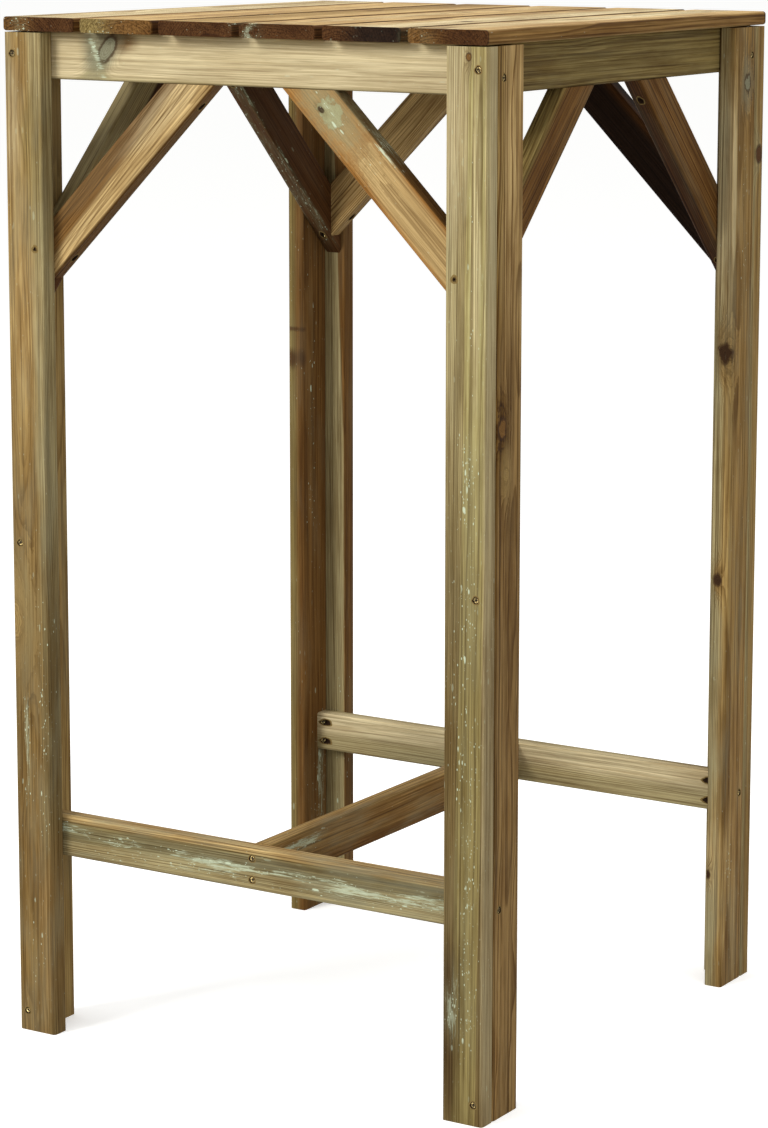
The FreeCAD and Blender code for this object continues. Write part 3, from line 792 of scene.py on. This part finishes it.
def zinc_material():
    """Plated steel, with painted dark reflections in patches that leave bright glints, and painted shade
    where the shade value of the surface says it is deep.
    """
    colours = bpy.context.scene.table_screw_colours
    material, tree, steel = new_material("yellow_zinc")
    deep, mottle = shade_and_mottle(tree, 620.0)
    # Mask of the painted shade in the recess and of the painted dark reflections in patches on the head.
    mask = maths("MAXIMUM", ramp(deep, 0.1, 0.6), ramp(mottle, 0.4, 0.54, 0.0, 0.92))
    join(steel.inputs["Base Color"], mixed(mask, (*colours.zinc, 1.0), (*colours.dark_reflection_and_shade, 1.0)))
    join(steel.inputs["Metallic"], less(1.0, mask))
    steel.inputs["Specular IOR Level"].default_value = 0.15
    join(steel.inputs["Roughness"], ramp(mottle, 0.3, 0.7, 0.28, 0.5))
    return material


def build_screws():
    """A turned screw with a cross recess at the place of each stand-in pin."""
    sizes, material = bpy.context.scene.table_screws, zinc_material()
    for name in SCREW_COUNTS:
        head, inward, reach = screw_places(name)
        points, faces, shade = screw_surface(sizes, float(reach.mean()) - sizes.head_sink)
        head = head + sizes.head_sink * inward
        basis = np.stack([*square_to(inward), inward], 1)
        placed = head[:, None] + np.einsum("kc,ncd->nkd", points, basis)
        look = name.replace("_screws", "_screw_look")
        piece = make_piece(look, placed, faces, shade, material)
        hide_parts(name)


def open_faces(name, head, inward):
    """Outward normals of the faces that the screws of a node enter: square to the screw on the wide faces,
    the slanted lower face of a brace, or the inner face of a rail."""
    if name not in SLANTED_SCREWS:
        return -inward
    normal = np.zeros_like(head)
    if name == "brace_screws":
        mouth = head - DEEP_SINK * inward
        crosswise = np.abs(mouth[:, 1]) > np.abs(mouth[:, 0])
        normal[:, 0] = np.where(crosswise, -np.sign(head[:, 0]), 0)
        normal[:, 1] = np.where(crosswise, 0, -np.sign(head[:, 1]))
        normal[:, 2] = -1
    else:
        normal[:, 1] = -np.sign(head[:, 1])
    return normal / np.linalg.norm(normal, axis=1, keepdims=True)


def torn_material():
    """Crushed wood, paler on its lip, with painted shade dark in the hole, by the shade value of the surface.
    """
    colours = bpy.context.scene.table_screw_colours
    material, tree, wood = new_material("torn_wood")
    deep, mottle = shade_and_mottle(tree, 700.0)
    # Mask of the painted shade in the hole, made uneven by noise.
    mask = maths("ADD", deep, times(less(mottle, 0.5), 1.3))
    join(wood.inputs["Base Color"],
         mixed(ramp(mask, 0.1, 0.8), (*colours.torn, 1.0), (*colours.hole_shade, 1.0)))
    wood.inputs["Roughness"].default_value = 0.85
    wood.inputs["Specular IOR Level"].default_value = 0.06
    return material


def build_rims():
    """A collar of torn wood round each hole mouth that shows: rows run from just under the face at the outer
    radius, over a low lip, to the inner radius and down the hole to the head. A row on the face lies where
    the screw's own cylinder of that radius meets the face plane."""
    sizes, material = bpy.context.scene.table_screws, torn_material()
    outer = sizes.rim_outside
    rise = sizes.rim_lift * np.array([-0.25, 0.7, 1.0, 0.3])
    # Shade value of each row: the painted shade deepens towards the hole and down its wall.
    shade = np.repeat([0.0, 0.15, 0.5, 0.9, 1.0], SECTORS)
    uneven = 1 + 0.07 * np.cos(3 * TURN + 1) + 0.05 * np.cos(5 * TURN)
    for name in SCREW_COUNTS:
        if name in COVERED_SCREWS:
            continue
        inner = sizes.closed_inside if name in CLOSED_SCREWS else sizes.rim_inside
        radius = np.array([outer, 0.6 * outer + 0.4 * inner, 0.25 * outer + 0.75 * inner, inner])
        spread = radius[:, None] * np.where(radius[:, None] > inner, uneven, 1.0)
        head, inward, _ = screw_places(name)
        first, second = square_to(inward)
        normal = open_faces(name, head, inward)
        sink = DEEP_SINK if name in SUNK_SCREWS else FLUSH_SINK
        ring = spread[None, :, :, None] * (np.cos(TURN)[:, None] * first[:, None, None]
                                           + np.sin(TURN)[:, None] * second[:, None, None])
        facing = np.einsum("nc,nc->n", inward, normal)
        slide = -sink - np.einsum("nrsc,nc->nrs", ring, normal) / facing[:, None, None]
        lip = (head[:, None, None] + ring + slide[..., None] * inward[:, None, None]
               + rise[None, :, None, None] * normal[:, None, None])
        wall = head[:, None, None] + ring[:, -1:] + (sizes.head_sink + 0.1 * MM) * inward[:, None, None]
        points = np.concatenate([lip, wall], 1)
        faces = grid_faces(points.shape[1])
        rims = name.replace("_screws", "_hole_rims")
        make_piece(rims, points.reshape(len(head), -1, 3), faces, shade, material)


# Studio

CAMERA_PLACE = (1.9874, -3.1719, 1.2374)
CAMERA_TURN, CAMERA_DIP, CAMERA_ROLL = 31.38, 9.44, 0.18
CAMERA_LENS, CAMERA_SHIFT = 110.93, (-0.0459, -0.0943)
SENSOR_WIDTH, VIEW_REACH = 36.0, 200.0
# Each lamp's place, the point that it looks at, and its size.
LAMPS = {"key": ((-1.72, -4.02, 2.82), (0, 0, 0.6), 1.5),
         "top": ((0.2, -0.3, 4.0), (0, 0, 1), 2.0),
         "fill": ((4.2, -1.6, 1.6), (0, 0, 0.6), 1.6)}
FLOOR_REACH, FLOOR_GLOW = 60.0, 0.38
BOUNCE_TONE, WHITE = (0.3, 0.29, 0.27, 1.0), (1.0, 1.0, 1.0, 1.0)


def place_camera():
    """Camera at the height and angle of the view from the front right."""
    turn, dip, roll = (math.radians(v) for v in (CAMERA_TURN, CAMERA_DIP, CAMERA_ROLL))
    level = Vector((-math.sin(turn), math.cos(turn), 0))
    side = Vector((math.cos(turn), math.sin(turn), 0))
    forward = level * math.cos(dip) - Vector((0, 0, math.sin(dip)))
    upright = Vector((0, 0, math.cos(dip))) + level * math.sin(dip)
    right = side * math.cos(roll) + upright * math.sin(roll)
    up = upright * math.cos(roll) - side * math.sin(roll)
    lens = bpy.data.cameras.new("view")
    lens.lens, lens.sensor_width = CAMERA_LENS, SENSOR_WIDTH
    lens.shift_x, lens.shift_y = CAMERA_SHIFT
    lens.clip_end = VIEW_REACH
    camera = show("view", lens)
    facing = Matrix((right, up, -forward)).transposed().to_4x4()
    camera.matrix_world = Matrix.Translation(CAMERA_PLACE) @ facing
    bpy.context.scene.camera = camera


def add_lamp(name, strength):
    """A square lamp that looks at its point."""
    place, target, size = LAMPS[name]
    lamp = bpy.data.lights.new(name, "AREA")
    lamp.energy, lamp.size = strength, size
    holder = show(name, lamp)
    holder.location = place
    holder.rotation_euler = (Vector(target) - Vector(place)).to_track_quat("-Z", "Y").to_euler()


def seen_directly(tree):
    """1 for rays that show the background itself: from the camera, in a mirror or through glass."""
    rays = add(tree, "ShaderNodeLightPath").outputs
    other = maths("MAXIMUM", rays["Is Glossy Ray"], rays["Is Transmission Ray"])
    return maths("MAXIMUM", rays["Is Camera Ray"], other)


def build_floor(tone):
    """Wide floor: pale to the eye with the table's shadow, dull to bounced light so undersides stay dark, and
    clear from below so that the underside can be looked at."""
    far = FLOOR_REACH
    mesh = bpy.data.meshes.new("studio_floor")
    mesh.from_pydata([(-far, -far, 0), (far, -far, 0), (far, far, 0), (-far, far, 0)], [], [(0, 1, 2, 3)])
    material, tree, paint = new_material("studio_floor")
    paint.inputs["Roughness"].default_value = 1.0
    paint.inputs["Specular IOR Level"].default_value = 0.0
    seen = seen_directly(tree)
    join(paint.inputs["Base Color"], mixed(seen, BOUNCE_TONE, (*tone, 1.0)))
    glow = add(tree, "ShaderNodeEmission", {"Color": WHITE, "Strength": times(seen, FLOOR_GLOW)})
    both = add(tree, "ShaderNodeAddShader", {0: paint.outputs[0], 1: glow.outputs[0]})
    below = add(tree, "ShaderNodeNewGeometry").outputs["Backfacing"]
    clear = add(tree, "ShaderNodeBsdfTransparent").outputs[0]
    surface = add(tree, "ShaderNodeMixShader", {0: below, 1: both.outputs[0], 2: clear})
    join(tree.nodes["Material Output"].inputs["Surface"], surface.outputs[0])
    mesh.materials.append(material)
    show("studio_floor", mesh)


def build_sky(strength):
    """Even world light, white where it is seen directly."""
    world = bpy.data.worlds.new("studio_sky")
    bpy.context.scene.world = world
    world.use_nodes = True
    tree = world.node_tree
    sky = tree.nodes["Background"]
    sky.inputs["Color"].default_value = WHITE
    join(sky.inputs["Strength"], times_plus(seen_directly(tree), 1.0 - strength, strength))


# Operators and panel

class OBJECT_OT_table_legs(bpy.types.Operator):
    """Give the eight leg battens their pine"""
    bl_idname = "object.table_legs"
    bl_label = "Leg battens"

    def execute(self, context):
        return dress(LEG_BOARDS)


class OBJECT_OT_table_rails(bpy.types.Operator):
    """Give the aprons and stretchers their pine"""
    bl_idname = "object.table_rails"
    bl_label = "Aprons and stretchers"

    def execute(self, context):
        return dress(RAIL_BOARDS)


class OBJECT_OT_table_braces(bpy.types.Operator):
    """Give the eight knee braces their pine"""
    bl_idname = "object.table_braces"
    bl_label = "Knee braces"

    def execute(self, context):
        return dress(BRACE_BOARDS)


class OBJECT_OT_table_slats(bpy.types.Operator):
    """Give the six top slats their pine"""
    bl_idname = "object.table_slats"
    bl_label = "Top slats"

    def execute(self, context):
        return dress(SLAT_BOARDS)


class OBJECT_OT_table_screws(bpy.types.Operator):
    """Turn a countersunk screw at each fixing"""
    bl_idname = "object.table_screws"
    bl_label = "Screws"

    def execute(self, context):
        build_screws()
        return {"FINISHED"}


class OBJECT_OT_table_rims(bpy.types.Operator):
    """Tear the wood round each screw hole that shows"""
    bl_idname = "object.table_rims"
    bl_label = "Screw hole rims"

    def execute(self, context):
        build_rims()
        return {"FINISHED"}


class OBJECT_OT_table_stage(bpy.types.Operator):
    """Set the floor, sky, lamps and camera"""
    bl_idname = "object.table_stage"
    bl_label = "Studio"

    def execute(self, context):
        settings = context.scene.table_studio
        build_floor(settings.floor_tone)
        build_sky(settings.sky_strength)
        add_lamp("key", settings.key_power)
        add_lamp("top", settings.top_power)
        add_lamp("fill", settings.fill_power)
        place_camera()
        context.scene.view_settings.view_transform = "Standard"
        return {"FINISHED"}


class VIEW3D_PT_bar_table(bpy.types.Panel):
    """Lists the table's groups of pieces and their sizes and colours"""
    bl_label = "Bar Table"
    bl_idname = "VIEW3D_PT_bar_table"
    bl_space_type = "VIEW_3D"
    bl_region_type = "UI"
    bl_category = "Bar Table"

    def draw(self, context):
        for operator in OPERATORS:
            self.layout.operator(operator.bl_idname)
        for holder in SETTINGS:
            group = getattr(context.scene, holder)
            for name in group.bl_rna.properties.keys():
                if name not in ("rna_type", "name"):
                    self.layout.prop(group, name)


OPERATORS = (OBJECT_OT_table_legs, OBJECT_OT_table_rails, OBJECT_OT_table_braces, OBJECT_OT_table_slats,
             OBJECT_OT_table_screws, OBJECT_OT_table_rims, OBJECT_OT_table_stage)
SETTINGS = {"table_pine": PineColours, "table_screws": ScrewSizes, "table_screw_colours": ScrewColours,
            "table_studio": StudioSettings}
CLASSES = (*SETTINGS.values(), *OPERATORS, VIEW3D_PT_bar_table)


def register():
    for made in CLASSES:
        bpy.utils.register_class(made)
    for holder, group in SETTINGS.items():
        setattr(bpy.types.Scene, holder, PointerProperty(type=group))


def unregister():
    for holder in SETTINGS:
        delattr(bpy.types.Scene, holder)
    for made in reversed(CLASSES):
        bpy.utils.unregister_class(made)


def main():
    register()
    bpy.ops.object.table_legs()
    bpy.ops.object.table_rails()
    bpy.ops.object.table_braces()
    bpy.ops.object.table_slats()
    bpy.ops.object.table_screws()
    bpy.ops.object.table_rims()
    bpy.ops.object.table_stage()


if __name__ == "__main__":
    main()
